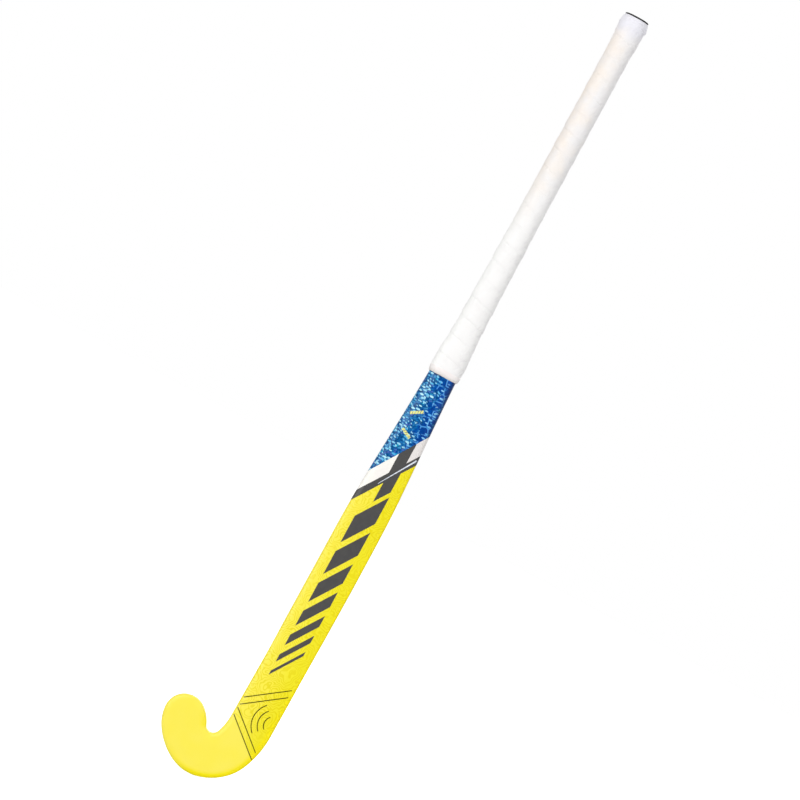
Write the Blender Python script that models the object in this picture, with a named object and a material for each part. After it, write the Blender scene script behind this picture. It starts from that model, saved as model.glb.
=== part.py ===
"""A field hockey stick: a hollow moulded laminate, a foam-filled head, a taped handle and printed films.

The stick stands upright with its handle at the top. The flat playing face looks along -Y, the rounded
back along +Y, and the hook turns towards -X. The origin is on the handle's axis, where the top hand
holds it. Lengths are in millimetres here, and turn into metres where a point is made.

Two measures place everything. "Distance" runs down the stick from the butt's end, along the middle of
the shaft and on round the hook. "Height" is measured up from the head's lowest point.
"""
import math
from collections import namedtuple

import bmesh
import bpy
from mathutils import Vector

MM = 0.001
LENGTH = 927.0            # butt to the head's lowest point: a 36.5 inch adult stick
HAND = 100.0              # the top hand's place, below the butt's end

# The shaft. Each station is (distance, half width, front depth, back depth, front power, back power).
# A section is a superellipse whose power sets how square it is: near 2 an oval, at 8 a flat face.
STATIONS = (
    (0, 11.9, 13.6, 13.6, 2.3, 2.3),
    (260, 11.9, 13.4, 13.4, 2.3, 2.3),
    (340, 12.8, 13.0, 13.2, 2.4, 2.3),
    (430, 15.4, 12.2, 12.8, 2.8, 2.3),
    (490, 18.2, 11.4, 12.4, 4.0, 2.3),
    (550, 21.6, 10.6, 12.0, 6.0, 2.3),
    (590, 23.4, 10.1, 11.8, 7.5, 2.4),
    (625, 23.9, 10.0, 11.6, 8.0, 2.4),
    (700, 24.0, 10.0, 11.4, 8.0, 2.4),
    (860, 24.0, 10.0, 11.0, 8.0, 2.5),
    (1100, 22.3, 10.0, 9.6, 8.0, 2.5),
)
HANDLE_END = 420.0        # the handle above here is straight, and takes few ribs
HANDLE_STEPS = 8
SHAFT_END = 680.0         # the shaft has two straight edges down to here
SHAFT_STEPS = 13
THROAT_STEPS = 5          # ribs on to the head's own

# The bow: (height, offset to the back, slope). The head below the first station is flat, and so is
# the handle above the last one.
HEAD_SLOPE = 0.045
BOW = ((76.0, 0.0, HEAD_SLOPE), (310.0, 18.5, 0.0), (600.0, 12.0, -12.0 / 327.0))

# The head's edge, as a chain from the heel's side round the toe and up inside the crook.
# Each arc is (radius, turn in degrees). Arcs of the crook with a negative radius bend the other way.
EDGE_START = (24.2, 255.0)
EDGE_TILT = 0.7
EDGE_LINE = 182.0
EDGE_LINE_STEPS = 7
HEEL_ARCS = ((101.0, 24.4), (52.5, 23.0), (62.6, 26.0), (46.5, 44.0), (68.7, 29.0), (45.0, 29.5))
TOE_ARC = (22.2, 130.0)
CROOK_ARCS = ((38.4, 31.0), (-7.5, 136.5), (-59.6, 20.0))
CROOK_LINE = 200.0
HEAD_TOP = 150.0          # the ribs below this height come from the edge chain
ARC_STEP = 7.5            # largest turn between two ribs, in degrees
FINE_STEP = 0.5           # spacing of the crook's points that the ribs are sought among

# Walls, layers and clearances
GAP = 0.3                 # between two pieces that touch
WALL = 2.2                # the shell's laminate
TUBE_WALL = 0.9
FILM = 0.2                # printed films
TUBES = (46.0, 780.0)     # from the butt plug to the head's foam
PLUG = (16.0, 44.0)
CORE_START = 782.0
SHELL_START = 3.6         # the rim, under the end cap

CAP_RIM = 1.7             # how far the cap stands out past the shell
CAP_RINGS = (             # (distance, growth over the shell's surface) from the flat top to the skirt
    (0.0, -2.4), (0.3, 0.9), (0.7, CAP_RIM), (1.4, CAP_RIM), (1.7, 1.2), (36.0, 0.6),
    (36.0, GAP), (3.3, GAP), (3.3, -WALL - GAP), (14.0, -WALL - GAP - 0.4),
)
BACKING = (38.0, 420.0)
GRIP = (                  # (distance, growth over the shell's surface) of the grip's outside
    (2.0, 1.9), (5.5, 3.0), (10.8, 4.0), (14.5, 3.3), (20.0, 2.9), (34.0, 2.4), (46.0, 1.9),
    (140.0, 1.8), (235.0, 1.9), (280.0, 2.3), (330.0, 2.2), (372.0, 2.0), (392.0, 2.2), (402.0, 3.0),
    (414.0, 2.9), (424.0, 1.7), (431.0, 1.4),
)
GRIP_INSIDE = ((2.0, 1.5), (37.0, 0.9), (60.0, 0.8), (431.0, 0.8))
FINISH_TAPE = ((421.0, 2.6), (424.5, 2.2), (432.5, 1.95))
FINISH_THICKNESS = 0.2

# The films. A slanted edge is (distance at the middle, drop for each millimetre towards +X).
FILM_START = 433.0
SLANT = 1.5
MOSAIC_EDGE = (522.6, 1.56)
BAND_TOP = (545.6, SLANT)
BAND_BOTTOM = (557.8, SLANT)
UPRIGHT_BAND = (-1.6, 10.0)       # its two sides, across the face
UPRIGHT_END = (580.5, SLANT)
BAR_HALF = 11.5
BAR_START = 588.0
BAR_GAP = 10.5
BAR_LENGTHS = (32.0, 27.5, 23.0, 18.0, 13.0, 9.0, 5.0)
LINE_FILM = (-17.0, 11.0)
LINE_FILM_TOP = (809.5, 0.72)
LINE_FILM_BOTTOM = (868.0, -0.82)

RING = 20                 # points round a section
LEAST_STEP = 1.0          # ribs closer than this to a piece's end are left out
SETTLE_ROUNDS = 6         # enough for a slanted edge's place to stop changing
Rib = namedtuple("Rib", "distance middle heel crook half front back front_power back_power")


def hermite(stations, at):
    """A smooth curve through (place, value, slope) stations, straight outside them."""
    if at <= stations[0][0]:
        return stations[0][1] + stations[0][2] * (at - stations[0][0])
    for (p0, v0, m0), (p1, v1, m1) in zip(stations, stations[1:]):
        if at <= p1:
            span = p1 - p0
            t = (at - p0) / span
            return (v0 * (1 + 2 * t) * (1 - t) ** 2 + m0 * span * t * (1 - t) ** 2
                    + v1 * t * t * (3 - 2 * t) + m1 * span * t * t * (t - 1))
    return stations[-1][1] + stations[-1][2] * (at - stations[-1][0])


def bow(height):
    """How far the stick's middle lies behind the handle's axis at the top hand."""
    return hermite(BOW, height) - hermite(BOW, LENGTH - HAND)


def with_slopes(stations, column):
    """(place, value, slope) rows of one column, with slopes that never overshoot."""
    rows = []
    for i, row in enumerate(stations):
        slope = 0.0
        if 0 < i < len(stations) - 1:
            before, after = stations[i - 1], stations[i + 1]
            left = (row[column] - before[column]) / (row[0] - before[0])
            right = (after[column] - row[column]) / (after[0] - row[0])
            if left * right > 0:
                slope = 2 * left * right / (left + right)
        rows.append((row[0], row[column], slope))
    return rows


COLUMNS = [with_slopes(STATIONS, column) for column in range(1, 6)]


def section_at(distance):
    """Half width, front depth, back depth, front power and back power at a distance."""
    return [hermite(column, distance) for column in COLUMNS]


def growth_at(profile, distance):
    """A layer's growth over the shell's surface, smooth between its (distance, growth) points."""
    return hermite(with_slopes(profile, 1), distance)


# --- The head's edge and the ribs across the stick ---------------------------------------------

def walk_arc(point, heading, radius, turn, step):
    """Points and headings along an arc. Heading 0 is down, and turns towards -X."""
    bend = 1 if radius > 0 else -1
    radius = abs(radius)
    centre = point + bend * radius * inward(heading)
    count = max(1, math.ceil(turn / step))
    found = []
    for i in range(1, count + 1):
        now = heading + bend * math.radians(turn) * i / count
        found.append((centre - bend * radius * inward(now), now))
    return found


def inward(heading):
    return Vector((-math.cos(heading), math.sin(heading)))


def along(heading):
    return Vector((-math.sin(heading), -math.cos(heading)))


def edge_chain():
    """The heel side's points with headings, the toe arc's centre, and the crook side's points."""
    heading = math.radians(EDGE_TILT)
    point = Vector(EDGE_START)
    step = along(heading) * EDGE_LINE / EDGE_LINE_STEPS
    heel = [(point + step * i, heading) for i in range(EDGE_LINE_STEPS + 1)]
    for radius, turn in HEEL_ARCS:
        heel += walk_arc(heel[-1][0], heel[-1][1], radius, turn, ARC_STEP)
    point, heading = heel[-1]
    toe_middle = point + TOE_ARC[0] * inward(heading)
    point, heading = walk_arc(point, heading, *TOE_ARC, TOE_ARC[1])[-1]
    crook = [(point, heading)]
    for radius, turn in CROOK_ARCS:
        step = math.degrees(FINE_STEP / abs(radius))
        crook += walk_arc(crook[-1][0], crook[-1][1], radius, turn, step)
    point, heading = crook[-1]
    count = round(CROOK_LINE / FINE_STEP)
    crook += [(point + along(heading) * FINE_STEP * i, heading) for i in range(1, count)]
    lowest = min(p.y for p, _ in heel)
    drop = Vector((0, lowest))
    return [(p - drop, h) for p, h in heel], toe_middle - drop, [p - drop for p, _ in crook]


def rib_from(point, heading, others):
    """The largest circle that touches the edge here and stays inside the other edge."""
    normal = inward(heading)

    def radius(other):
        across = other - point
        reach = across.dot(normal)
        return across.length_squared / (2 * reach) if reach > 1e-6 else math.inf

    foot = min(others, key=radius)
    return point + normal * radius(foot), foot


def mixed(before, after, share):
    """A rib between two others, straight from one to the other."""
    return Rib(*(a + (b - a) * share for a, b in zip(before, after)))


def make_ribs():
    """Every rib from the butt to the toe: its middle, its feet on both edges, and its section."""
    ribs = []
    places = [HANDLE_END * i / HANDLE_STEPS for i in range(HANDLE_STEPS)]
    stretch = (SHAFT_END - HANDLE_END) / SHAFT_STEPS
    places += [HANDLE_END + stretch * i for i in range(SHAFT_STEPS + 1)]
    for distance in places:
        half, *rest = section_at(distance)
        height = LENGTH - distance
        ribs.append(Rib(distance, Vector((0, height)), Vector((half, height)), Vector((-half, height)),
                        half, *rest))
    head = []
    heel, toe_middle, crook = edge_chain()
    for n, (point, heading) in enumerate(heel):
        if point.y > HEAD_TOP:
            continue
        middle, foot = rib_from(point, heading, crook)
        if n == len(heel) - 1:
            middle, foot = toe_middle, crook[0]
        last = (head or ribs)[-1]
        distance = last.distance + (middle - last.middle).length
        _, *rest = section_at(distance)
        head.append(Rib(distance, middle, point, foot, (point - middle).length, *rest))
    throat = [mixed(ribs[-1], head[0], i / (THROAT_STEPS + 1)) for i in range(1, THROAT_STEPS + 1)]
    return ribs + throat + head


RIBS = make_ribs()
TIP = RIBS[-1].distance


def rib_at(distance):
    for before, after in zip(RIBS, RIBS[1:]):
        if distance <= after.distance:
            share = (distance - before.distance) / (after.distance - before.distance)
            return mixed(before, after, share)
    return RIBS[-1]


def ribs_between(start, end):
    inner = [rib for rib in RIBS if start + LEAST_STEP < rib.distance < end - LEAST_STEP]
    return [rib_at(start)] + inner + [rib_at(end)]


# --- Points on the stick -----------------------------------------------------------------------

def place(flat, depth):
    """A point in metres, from (across, height) and the depth behind the stick's middle."""
    return Vector((flat.x, depth + bow(flat.y), flat.y - (LENGTH - HAND))) * MM


def section_point(rib, angle, growth):
    """Across and depth of a section's point. An angle of -90 degrees is the middle of the face."""
    c, s = math.cos(angle), math.sin(angle)
    power = rib.front_power if s < 0 else rib.back_power
    reach = (abs(c) ** power + abs(s) ** power) ** (-1 / power)
    depth = (rib.front if s < 0 else rib.back) + growth
    across = (rib.half + growth) * reach * c
    return across, depth * reach * s


def on_rib(rib, across, depth):
    foot = rib.heel if across > 0 else rib.crook
    return place(rib.middle + (foot - rib.middle) * (abs(across) / rib.half), depth)


def ring_angles():
    return [math.radians(-90 + 360 * i / RING) for i in range(RING)]


def ring_points(rib, growth):
    return [on_rib(rib, *section_point(rib, angle, growth)) for angle in ring_angles()]


def half_ring_points(rib, growth, side, web):
    """A ring that fills one side of the section, cut flat where the two tubes meet."""
    points = []
    for i in range(RING // 2 + 1):
        angle = math.radians(-90 + 360 * i / RING)
        across, depth = section_point(rib, angle, growth)
        points.append(on_rib(rib, side * max(across, web), depth))
    return points


def face_point(across, distance, growth):
    """A point over the flat of the playing face."""
    rib = rib_at(distance)
    share = min(abs(across - rib.middle.x) / rib.half, 1.0)
    depth = rib.front * (1 - share ** rib.front_power) ** (1 / rib.front_power) + growth
    return place(Vector((across, LENGTH - distance)), -depth)


# --- Meshes ------------------------------------------------------------------------------------

def add_ring(bm, points):
    return [bm.verts.new(point) for point in points]


def bridge(bm, first, second, closed=True):
    count = len(first)
    for i in range(count if closed else count - 1):
        j = (i + 1) % count
        bm.faces.new((first[i], first[j], second[j], second[i]))


def bridge_all(bm, rings):
    for first, second in zip(rings, rings[1:]):
        bridge(bm, first, second)


def toe_cap(bm, ring, growth):
    """The toe's round end: half of the last ring turned about the toe's middle."""
    rib = RIBS[-1]
    half = RING // 2
    turns = math.ceil(TOE_ARC[1] / (2 * ARC_STEP))
    start = (rib.heel - rib.middle).normalized()
    profiles = [ring[:half + 1]]
    for k in range(1, turns):
        turn = math.radians(TOE_ARC[1]) * k / turns
        toward = Vector((start.x * math.cos(turn) + start.y * math.sin(turn),
                         start.y * math.cos(turn) - start.x * math.sin(turn)))
        profile = [ring[0]]
        for i in range(1, half):
            angle = math.radians(-90 + 360 * i / RING)
            across, depth = section_point(rib, angle, growth)
            profile.append(bm.verts.new(place(rib.middle + toward * across, depth)))
        profiles.append(profile + [ring[half]])
    profiles.append([ring[0]] + ring[:half - 1:-1])
    for first, second in zip(profiles, profiles[1:]):
        for i in range(half):
            corners = (first[i], first[i + 1], second[i + 1], second[i])
            bm.faces.new(list(dict.fromkeys(corners)))


def make_object(name, bm, material):
    bmesh.ops.recalc_face_normals(bm, faces=bm.faces[:])
    mesh = bpy.data.meshes.new(name)
    bm.to_mesh(mesh)
    bm.free()
    mesh.shade_smooth()
    mesh.set_sharp_from_angle(angle=math.radians(40))
    mesh.materials.append(material)
    obj = bpy.data.objects.new(name, mesh)
    bpy.context.scene.collection.objects.link(obj)
    return obj


def material(name, colour, roughness, metallic=0.0):
    made = bpy.data.materials.new(name)
    made.use_nodes = True
    shader = made.node_tree.nodes["Principled BSDF"]
    shader.inputs["Base Color"].default_value = (*colour, 1.0)
    shader.inputs["Roughness"].default_value = roughness
    shader.inputs["Metallic"].default_value = metallic
    return made


# --- The pieces --------------------------------------------------------------------------------

def shaft_shell():
    """The laminate: outer and inner surfaces from the butt to the toe, joined at the rim."""
    bm = bmesh.new()
    rims = []
    for growth in (0.0, -WALL):
        rings = [add_ring(bm, ring_points(rib, growth)) for rib in ribs_between(SHELL_START, TIP)]
        bridge_all(bm, rings)
        toe_cap(bm, rings[-1], growth)
        rims.append(rings[0])
    bridge(bm, *rims)
    return make_object("shaft_shell", bm, material("lacquer_yellow", (1.0, 0.86, 0.02), 0.32))


def inner_tube(name, side):
    """One of the two tubes in the shaft. Their flat walls stand back to back as the web."""
    bm = bmesh.new()
    layers = []
    for wall in (0.0, TUBE_WALL):
        growth = -WALL - GAP - wall
        web = GAP / 2 + wall
        layers.append([add_ring(bm, half_ring_points(rib, growth, side, web))
                       for rib in ribs_between(*TUBES)])
    rings = layers[0] + layers[1][::-1]
    bridge_all(bm, rings)
    bridge(bm, rings[-1], rings[0])
    return make_object(name, bm, material("bare_laminate", (0.03, 0.03, 0.035), 0.5))


def filled_length(name, start, end, paint):
    """A solid block of the shell's inner shape."""
    bm = bmesh.new()
    rings = [add_ring(bm, ring_points(rib, -WALL - GAP)) for rib in ribs_between(start, end)]
    bridge_all(bm, rings)
    bm.faces.new(rings[0])
    bm.faces.new(rings[-1])
    return make_object(name, bm, paint)


def head_core():
    bm = bmesh.new()
    growth = -WALL - GAP
    rings = [add_ring(bm, ring_points(rib, growth)) for rib in ribs_between(CORE_START, TIP)]
    bridge_all(bm, rings)
    bm.faces.new(rings[0])
    toe_cap(bm, rings[-1], growth)
    return make_object("head_core", bm, material("core_foam", (0.80, 0.70, 0.45), 0.9))


def end_cap():
    """The rubber cap: a flat top with a round rim, a skirt over the shell and a spigot inside it."""
    bm = bmesh.new()
    rings = [add_ring(bm, ring_points(rib_at(distance), growth)) for distance, growth in CAP_RINGS]
    bridge_all(bm, rings)
    bm.faces.new(rings[0])
    bm.faces.new(rings[-1])
    return make_object("end_cap", bm, material("cap_rubber", (0.012, 0.012, 0.013), 0.6))


def sleeve(name, outside, inside, paint):
    """A layer round the shell, from its outside and inside (distance, growth) profiles."""
    bm = bmesh.new()
    start, end = outside[0][0], outside[-1][0]
    places = sorted({p for p, _ in outside} | {rib.distance for rib in ribs_between(start, end)})
    layers = []
    for profile in (outside, inside):
        layers.append([add_ring(bm, ring_points(rib_at(p), growth_at(profile, p))) for p in places])
    rings = layers[0] + layers[1][::-1]
    bridge_all(bm, rings)
    bridge(bm, rings[-1], rings[0])
    return make_object(name, bm, paint)


def edge_distance(edge, angle):
    """Where a slanted edge crosses the line of section points at one angle."""
    distance = edge[0]
    for _ in range(SETTLE_ROUNDS):
        across, _ = section_point(rib_at(distance), angle, 0.0)
        distance = edge[0] - edge[1] * across
    return distance


def wrap(name, top, bottom, rows, paint):
    """A film round the shaft between two edges."""
    bm = bmesh.new()
    layers = []
    for growth in (GAP + FILM, GAP):
        rings = []
        for row in range(rows + 1):
            points = []
            for angle in ring_angles():
                ends = [edge_distance(edge, angle) for edge in (top, bottom)]
                rib = rib_at(ends[0] + (ends[1] - ends[0]) * row / rows)
                points.append(on_rib(rib, *section_point(rib, angle, growth)))
            rings.append(add_ring(bm, points))
        layers.append(rings)
    rings = layers[0] + layers[1][::-1]
    bridge_all(bm, rings)
    bridge(bm, rings[-1], rings[0])
    return make_object(name, bm, paint)


def patch(name, sides, top, bottom, paint, columns=3, rows=3):
    """A film on the face, between two sides and two slanted edges."""
    bm = bmesh.new()
    grids = []
    for growth in (GAP + FILM, GAP):
        grid = []
        for column in range(columns + 1):
            across = sides[0] + (sides[1] - sides[0]) * column / columns
            ends = [edge[0] - edge[1] * across for edge in (top, bottom)]
            line = [ends[0] + (ends[1] - ends[0]) * row / rows for row in range(rows + 1)]
            grid.append(add_ring(bm, [face_point(across, distance, growth) for distance in line]))
        for first, second in zip(grid, grid[1:]):
            bridge(bm, first, second, closed=False)
        grids.append(grid)
    outlines = [grid[0][:-1] + [line[-1] for line in grid[:-1]] + grid[-1][:0:-1]
                + [line[0] for line in grid[:0:-1]] for grid in grids]
    bridge(bm, *outlines)
    return make_object(name, bm, paint)


def shifted(edge, by):
    return edge[0] + by, edge[1]


def films():
    white = material("film_white", (0.97, 0.95, 0.90), 0.35)
    dark = material("film_dark", (0.08, 0.08, 0.085), 0.4)
    blue = material("film_blue", (0.01, 0.12, 0.42), 0.3)
    clear = material("film_clear", (0.95, 0.85, 0.15), 0.2)
    wrap("mosaic_wrap", (FILM_START, 0.0), shifted(MOSAIC_EDGE, -GAP / 2), 4, blue)
    wrap("white_wrap", shifted(MOSAIC_EDGE, GAP / 2), shifted(BAND_TOP, -GAP / 2), 2, white)
    wrap("slanted_band", shifted(BAND_TOP, GAP / 2), shifted(BAND_BOTTOM, -GAP / 2), 1, dark)
    patch("upright_band", UPRIGHT_BAND, shifted(BAND_BOTTOM, GAP / 2), UPRIGHT_END, dark, 2, 2)
    distance = BAR_START
    for number, length in enumerate(BAR_LENGTHS, 1):
        patch(f"face_bar_{number}", (-BAR_HALF, BAR_HALF), (distance, SLANT),
              (distance + length, SLANT), dark, 2, max(1, round(length / 12)))
        distance += length + BAR_GAP
    patch("head_line_film", LINE_FILM, LINE_FILM_TOP, LINE_FILM_BOTTOM, clear, 4, 3)


def main():
    for obj in list(bpy.data.objects):
        bpy.data.objects.remove(obj, do_unlink=True)
    shaft_shell()
    inner_tube("inner_tube_heel", 1)
    inner_tube("inner_tube_toe", -1)
    head_core()
    filled_length("butt_plug", *PLUG, material("plug_foam", (0.75, 0.72, 0.65), 0.9))
    end_cap()
    flat = ((BACKING[0], GAP), (BACKING[1], GAP))
    raised = ((BACKING[0], GAP + FILM), (BACKING[1], GAP + FILM))
    sleeve("grip_backing", raised, flat, material("backing_adhesive", (0.75, 0.72, 0.62), 0.8))
    sleeve("grip_tape", GRIP, GRIP_INSIDE, material("grip_cushion", (0.96, 0.95, 0.92), 0.75))
    tape = [(place, growth - FINISH_THICKNESS) for place, growth in FINISH_TAPE]
    sleeve("grip_finish_tape", FINISH_TAPE, tape, material("finish_tape", (0.93, 0.91, 0.90), 0.3))
    films()


main()
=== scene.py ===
"""The looks of the field hockey stick: a lacquered shell with printed films, a wound grip and a cap.

The frame is the CAD model's: the stick stands upright, its flat face looks along -Y, its hook turns
towards -X, and the origin is on the handle, 100 mm below the butt. Sizes here are in millimetres,
and become metres in placed(). "Distance" runs down from the butt's end, "height" up from the head's
lowest point, and "growth" is how far a surface stands out over the lacquered shell.
"""
import bisect
import random
from collections import namedtuple
from math import atan2, ceil, cos, degrees, dist, pi, radians, sin

import bmesh
import bpy
import numpy as np
from mathutils import Matrix, Vector, noise


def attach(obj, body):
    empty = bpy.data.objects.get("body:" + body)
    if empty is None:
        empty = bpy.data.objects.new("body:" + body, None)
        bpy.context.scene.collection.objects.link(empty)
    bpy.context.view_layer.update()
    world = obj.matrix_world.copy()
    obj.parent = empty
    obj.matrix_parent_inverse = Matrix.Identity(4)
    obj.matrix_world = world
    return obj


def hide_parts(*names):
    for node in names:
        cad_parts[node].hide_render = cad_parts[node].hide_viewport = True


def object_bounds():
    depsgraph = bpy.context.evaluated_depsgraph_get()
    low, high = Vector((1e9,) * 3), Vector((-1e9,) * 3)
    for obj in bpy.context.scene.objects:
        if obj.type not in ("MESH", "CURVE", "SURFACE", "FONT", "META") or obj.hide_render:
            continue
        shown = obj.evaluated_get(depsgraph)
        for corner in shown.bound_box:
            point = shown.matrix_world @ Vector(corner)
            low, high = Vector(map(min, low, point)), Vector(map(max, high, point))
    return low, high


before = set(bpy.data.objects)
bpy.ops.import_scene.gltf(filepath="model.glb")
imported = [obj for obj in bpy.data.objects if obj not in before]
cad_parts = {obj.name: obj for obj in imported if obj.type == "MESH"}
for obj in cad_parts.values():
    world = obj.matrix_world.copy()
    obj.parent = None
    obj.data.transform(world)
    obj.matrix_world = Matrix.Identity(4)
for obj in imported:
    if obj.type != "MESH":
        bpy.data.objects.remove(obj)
CAD_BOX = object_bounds()

MM = 0.001
LENGTH = 927.0
HAND = 100.0

# --- The stick's shape, as in the CAD model ---
# Each station is (distance, half width, front depth, back depth, front power, back power).
STATIONS = (
    (0, 11.9, 13.6, 13.6, 2.3, 2.3),
    (260, 11.9, 13.4, 13.4, 2.3, 2.3),
    (340, 12.8, 13.0, 13.2, 2.4, 2.3),
    (430, 15.4, 12.2, 12.8, 2.8, 2.3),
    (490, 18.2, 11.4, 12.4, 4.0, 2.3),
    (550, 21.6, 10.6, 12.0, 6.0, 2.3),
    (590, 23.4, 10.1, 11.8, 7.5, 2.4),
    (625, 23.9, 10.0, 11.6, 8.0, 2.4),
    (700, 24.0, 10.0, 11.4, 8.0, 2.4),
    (860, 24.0, 10.0, 11.0, 8.0, 2.5),
    (1100, 22.3, 10.0, 9.6, 8.0, 2.5),
)
BOW = ((76.0, 0.0, 0.045), (310.0, 18.5, 0.0), (600.0, 12.0, -12.0 / 327.0))   # height, back, slope

# The edges in front view: the heel's side starts with a line, whose height is set by the arcs below
# it. Arcs are (radius, turn in degrees), and one with a negative radius bends away from the hook.
EDGE_START = (24.2, 255.0)
EDGE_TILT = 0.7
EDGE_LINE = 182.0
HEEL_ARCS = ((101.0, 24.4), (52.5, 23.0), (62.6, 26.0), (46.5, 44.0), (68.7, 29.0), (45.0, 29.5))
TOE_ARC = (22.2, 130.0)
CROOK_ARCS = ((38.4, 31.0), (-7.5, 136.5), (-59.6, 20.0))
CROOK_LINE = 200.0
HEAD_TOP = 150.0          # the head's ribs start on the heel's side below this height
SHELL_START = 3.6
WALL = 2.2
SHADE_RIM_TOWARD = np.array([1.1, -0.92])           # edges that face this way, away from the key light, get painted shade: a deeper yellow rim
SHADE_RIM_WIDTHS = ((90.0, 130.0), (7.8, 4.8))      # its width, at these heights and beyond
SHADE_RIM_FULL = 0.36                               # the outer part of its width that has the full colour

# How finely the shape is cut: the grip hides the handle, so its ribs are far apart.
HIDDEN_END = 415.0
HIDDEN_STEP = 15.0
SEEN_STEP = 4.0
SHAFT_END = 680.0
EDGE_STEP = 2.6
ARC_STEP = 2.5
FINE_STEP = 0.05
RING = 96
INNER_EVERY = 4           # the shell's inside has one rib for so many outside
LEAST_REACH = 1e-6        # smaller reaches and squares count as none
LEAST_SQUARE = 1e-9
SHARP_ANGLE = 50.0        # edges that bend more, in degrees, stay sharp

# --- Layers over the shell ---
CAP_PROFILE = (           # (distance, growth) from the middle of the top to the skirt's inner edge
    (0.55, -11.3), (0.55, -7.4), (0.45, -7.0), (0.05, -6.6), (0.05, -5.8), (0.45, -5.4),
    (0.55, -5.0), (0.55, -3.4), (0.35, -2.9), (0.05, -2.3), (0.0, -1.4), (0.03, -0.5), (0.12, 0.3),
    (0.3, 1.0), (0.55, 1.5), (0.95, 1.75), (1.35, 1.65), (1.6, 1.4), (1.7, 0.9), (36.0, 0.6),
    (36.0, 0.3), (3.3, 0.3), (3.3, -2.5), (14.0, -2.9),
)
GRIP = (                  # (distance, growth) of the wound grip's outside, before its laps
    (1.9, 1.5), (2.8, 2.2), (5.0, 2.9), (8.0, 3.6), (10.8, 4.0), (14.5, 3.3), (20.0, 2.9),
    (34.0, 2.4), (44.0, 1.9), (140.0, 1.8), (235.0, 1.9), (280.0, 2.3), (330.0, 2.2), (372.0, 2.0),
    (392.0, 2.2), (402.0, 3.0), (414.0, 3.0), (421.0, 2.75), (424.5, 2.4), (428.0, 1.8), (430.6, 1.0),
)
GRIP_INSIDE = ((1.9, 1.4), (37.0, 0.9), (60.0, 0.8), (430.6, 0.8))
INSIDE_ROWS = 30
LAP_PITCH = 22.5
LAP_START = 7.1           # the first crease on the face's middle line
LAP_STEP = (0.2, 0.8)     # least and greatest height of a lap's edge
LAP_RISE = (0.30, 0.88)   # where a lap climbs over the one below, and where its rounded edge begins
LAP_ROWS = (0.0, 0.04, 0.1, 0.17, 0.24, 0.31, 0.38, 0.45, 0.52, 0.59, 0.66, 0.73, 0.79, 0.84, 0.88,
            0.92, 0.95, 0.975, 0.99, 1.0)
LAP_WANDER = 0.8          # how far a lap's edge strays from a true helix
LAP_LOW = 0.15            # height of a lap before it climbs, as a share of its edge's
LAP_SUNK = 0.45           # share of that height by which the laps lie under GRIP's profile
LAP_UNEVEN = (0.75, 0.7)  # mean and swing of the height along a turn
LAPS_GROW = 8.0           # the laps grow over this length from the grip's start
LAPS_END = (14.0, 4.0)    # and die out between these distances from its end
SPARE_LAPS = 2            # laps begun above the grip's start, and cut off there
SWELL = 0.26              # soft unevenness of the cushion
SWELL_SCALE = (1.1, 1.1, 0.045)                           # round the handle, and along it
SWELL_OCTAVES = ((1.0, 1.0), (3.1, 0.4), (9.3, 0.3))      # (fineness, share)
TAPE = (
    (424.4, 2.55), (425.2, 2.68), (427.0, 2.4), (428.8, 2.1), (430.4, 1.6), (431.4, 1.2), (431.7, 0.8),
)
TAPE_INSIDE = ((424.4, 2.45), (428.0, 1.95), (430.6, 1.2), (431.7, 0.7))
TAPE_STEP = 0.12          # what one turn of the tape adds
TAPE_HEM = (426.5, 431.0)     # where the tape darkens towards its lower edge

# The printed films. A slanted edge is (distance at the middle, rise for each millimetre towards +X).
FILM_START = 430.0
SLANT = 1.5
MOSAIC_EDGE = (522.6, 1.56)
BAND_TOP = (545.6, SLANT)
BAND_BOTTOM = (557.8, SLANT)
UPRIGHT_BAND = (-1.6, 10.0)
UPRIGHT_END = (580.5, SLANT)
BAR_HALF = 11.5
BAR_START = 588.0
BAR_GAP = 10.5
BAR_LENGTHS = (32.0, 27.5, 23.0, 18.0, 13.0, 9.0, 5.0)
FILM = 0.04               # thickness of a film
LOWER_FILM = 0.03         # growth of a film on the shell, and of those that lie over other films
UPPER_FILM = 0.09
TOP_FILM = 0.15
FILM_STEP = 2.4           # size of a film's faces
EDGE_PASSES = 8           # rounds of finding where a slanted edge lies round the shaft

# Thin drawn lines, as (across, distance) points and a width.
LINE_WIDTH = 0.95
LINE_STEP = 1.5
UPPER_LINE = ((-23.3, 828.9), (18.4, 798.7))
LOWER_LINE = ((-23.9, 841.0), (15.8, 874.6))
LINE_PAIR = 8.5           # from each of those lines down to its twin
MOTIF_MIDDLE = (18.6, 841.5)
MOTIF_RADII = (23.0, 16.5, 10.0)
MOTIF_TURN = 46.0
PINSTRIPE = ((-6.3, 563.5), (18.4, 523.0))
PINSTRIPE_WIDTHS = (0.5, 1.7)

Rib = namedtuple("Rib", "distance middle heel crook half front back front_power back_power")


def hermite(stations, at):
    """A smooth curve through (place, value, slope) stations, straight outside them."""
    places, values, slopes = np.array(stations, float).T
    at = np.asarray(at, float)
    i = np.clip(np.searchsorted(places, at) - 1, 0, len(places) - 2)
    span = places[i + 1] - places[i]
    t = np.clip((at - places[i]) / span, 0, 1)
    inside = (values[i] * (1 + 2 * t) * (1 - t) ** 2 + slopes[i] * span * t * (1 - t) ** 2
              + values[i + 1] * t * t * (3 - 2 * t) + slopes[i + 1] * span * t * t * (t - 1))
    outside = (slopes[0] * np.minimum(at - places[0], 0)
               + slopes[-1] * np.maximum(at - places[-1], 0))
    return inside + outside


def smooth_step(value, start, end):
    t = np.clip((value - start) / (end - start), 0, 1)
    return t * t * (3 - 2 * t)


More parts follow.
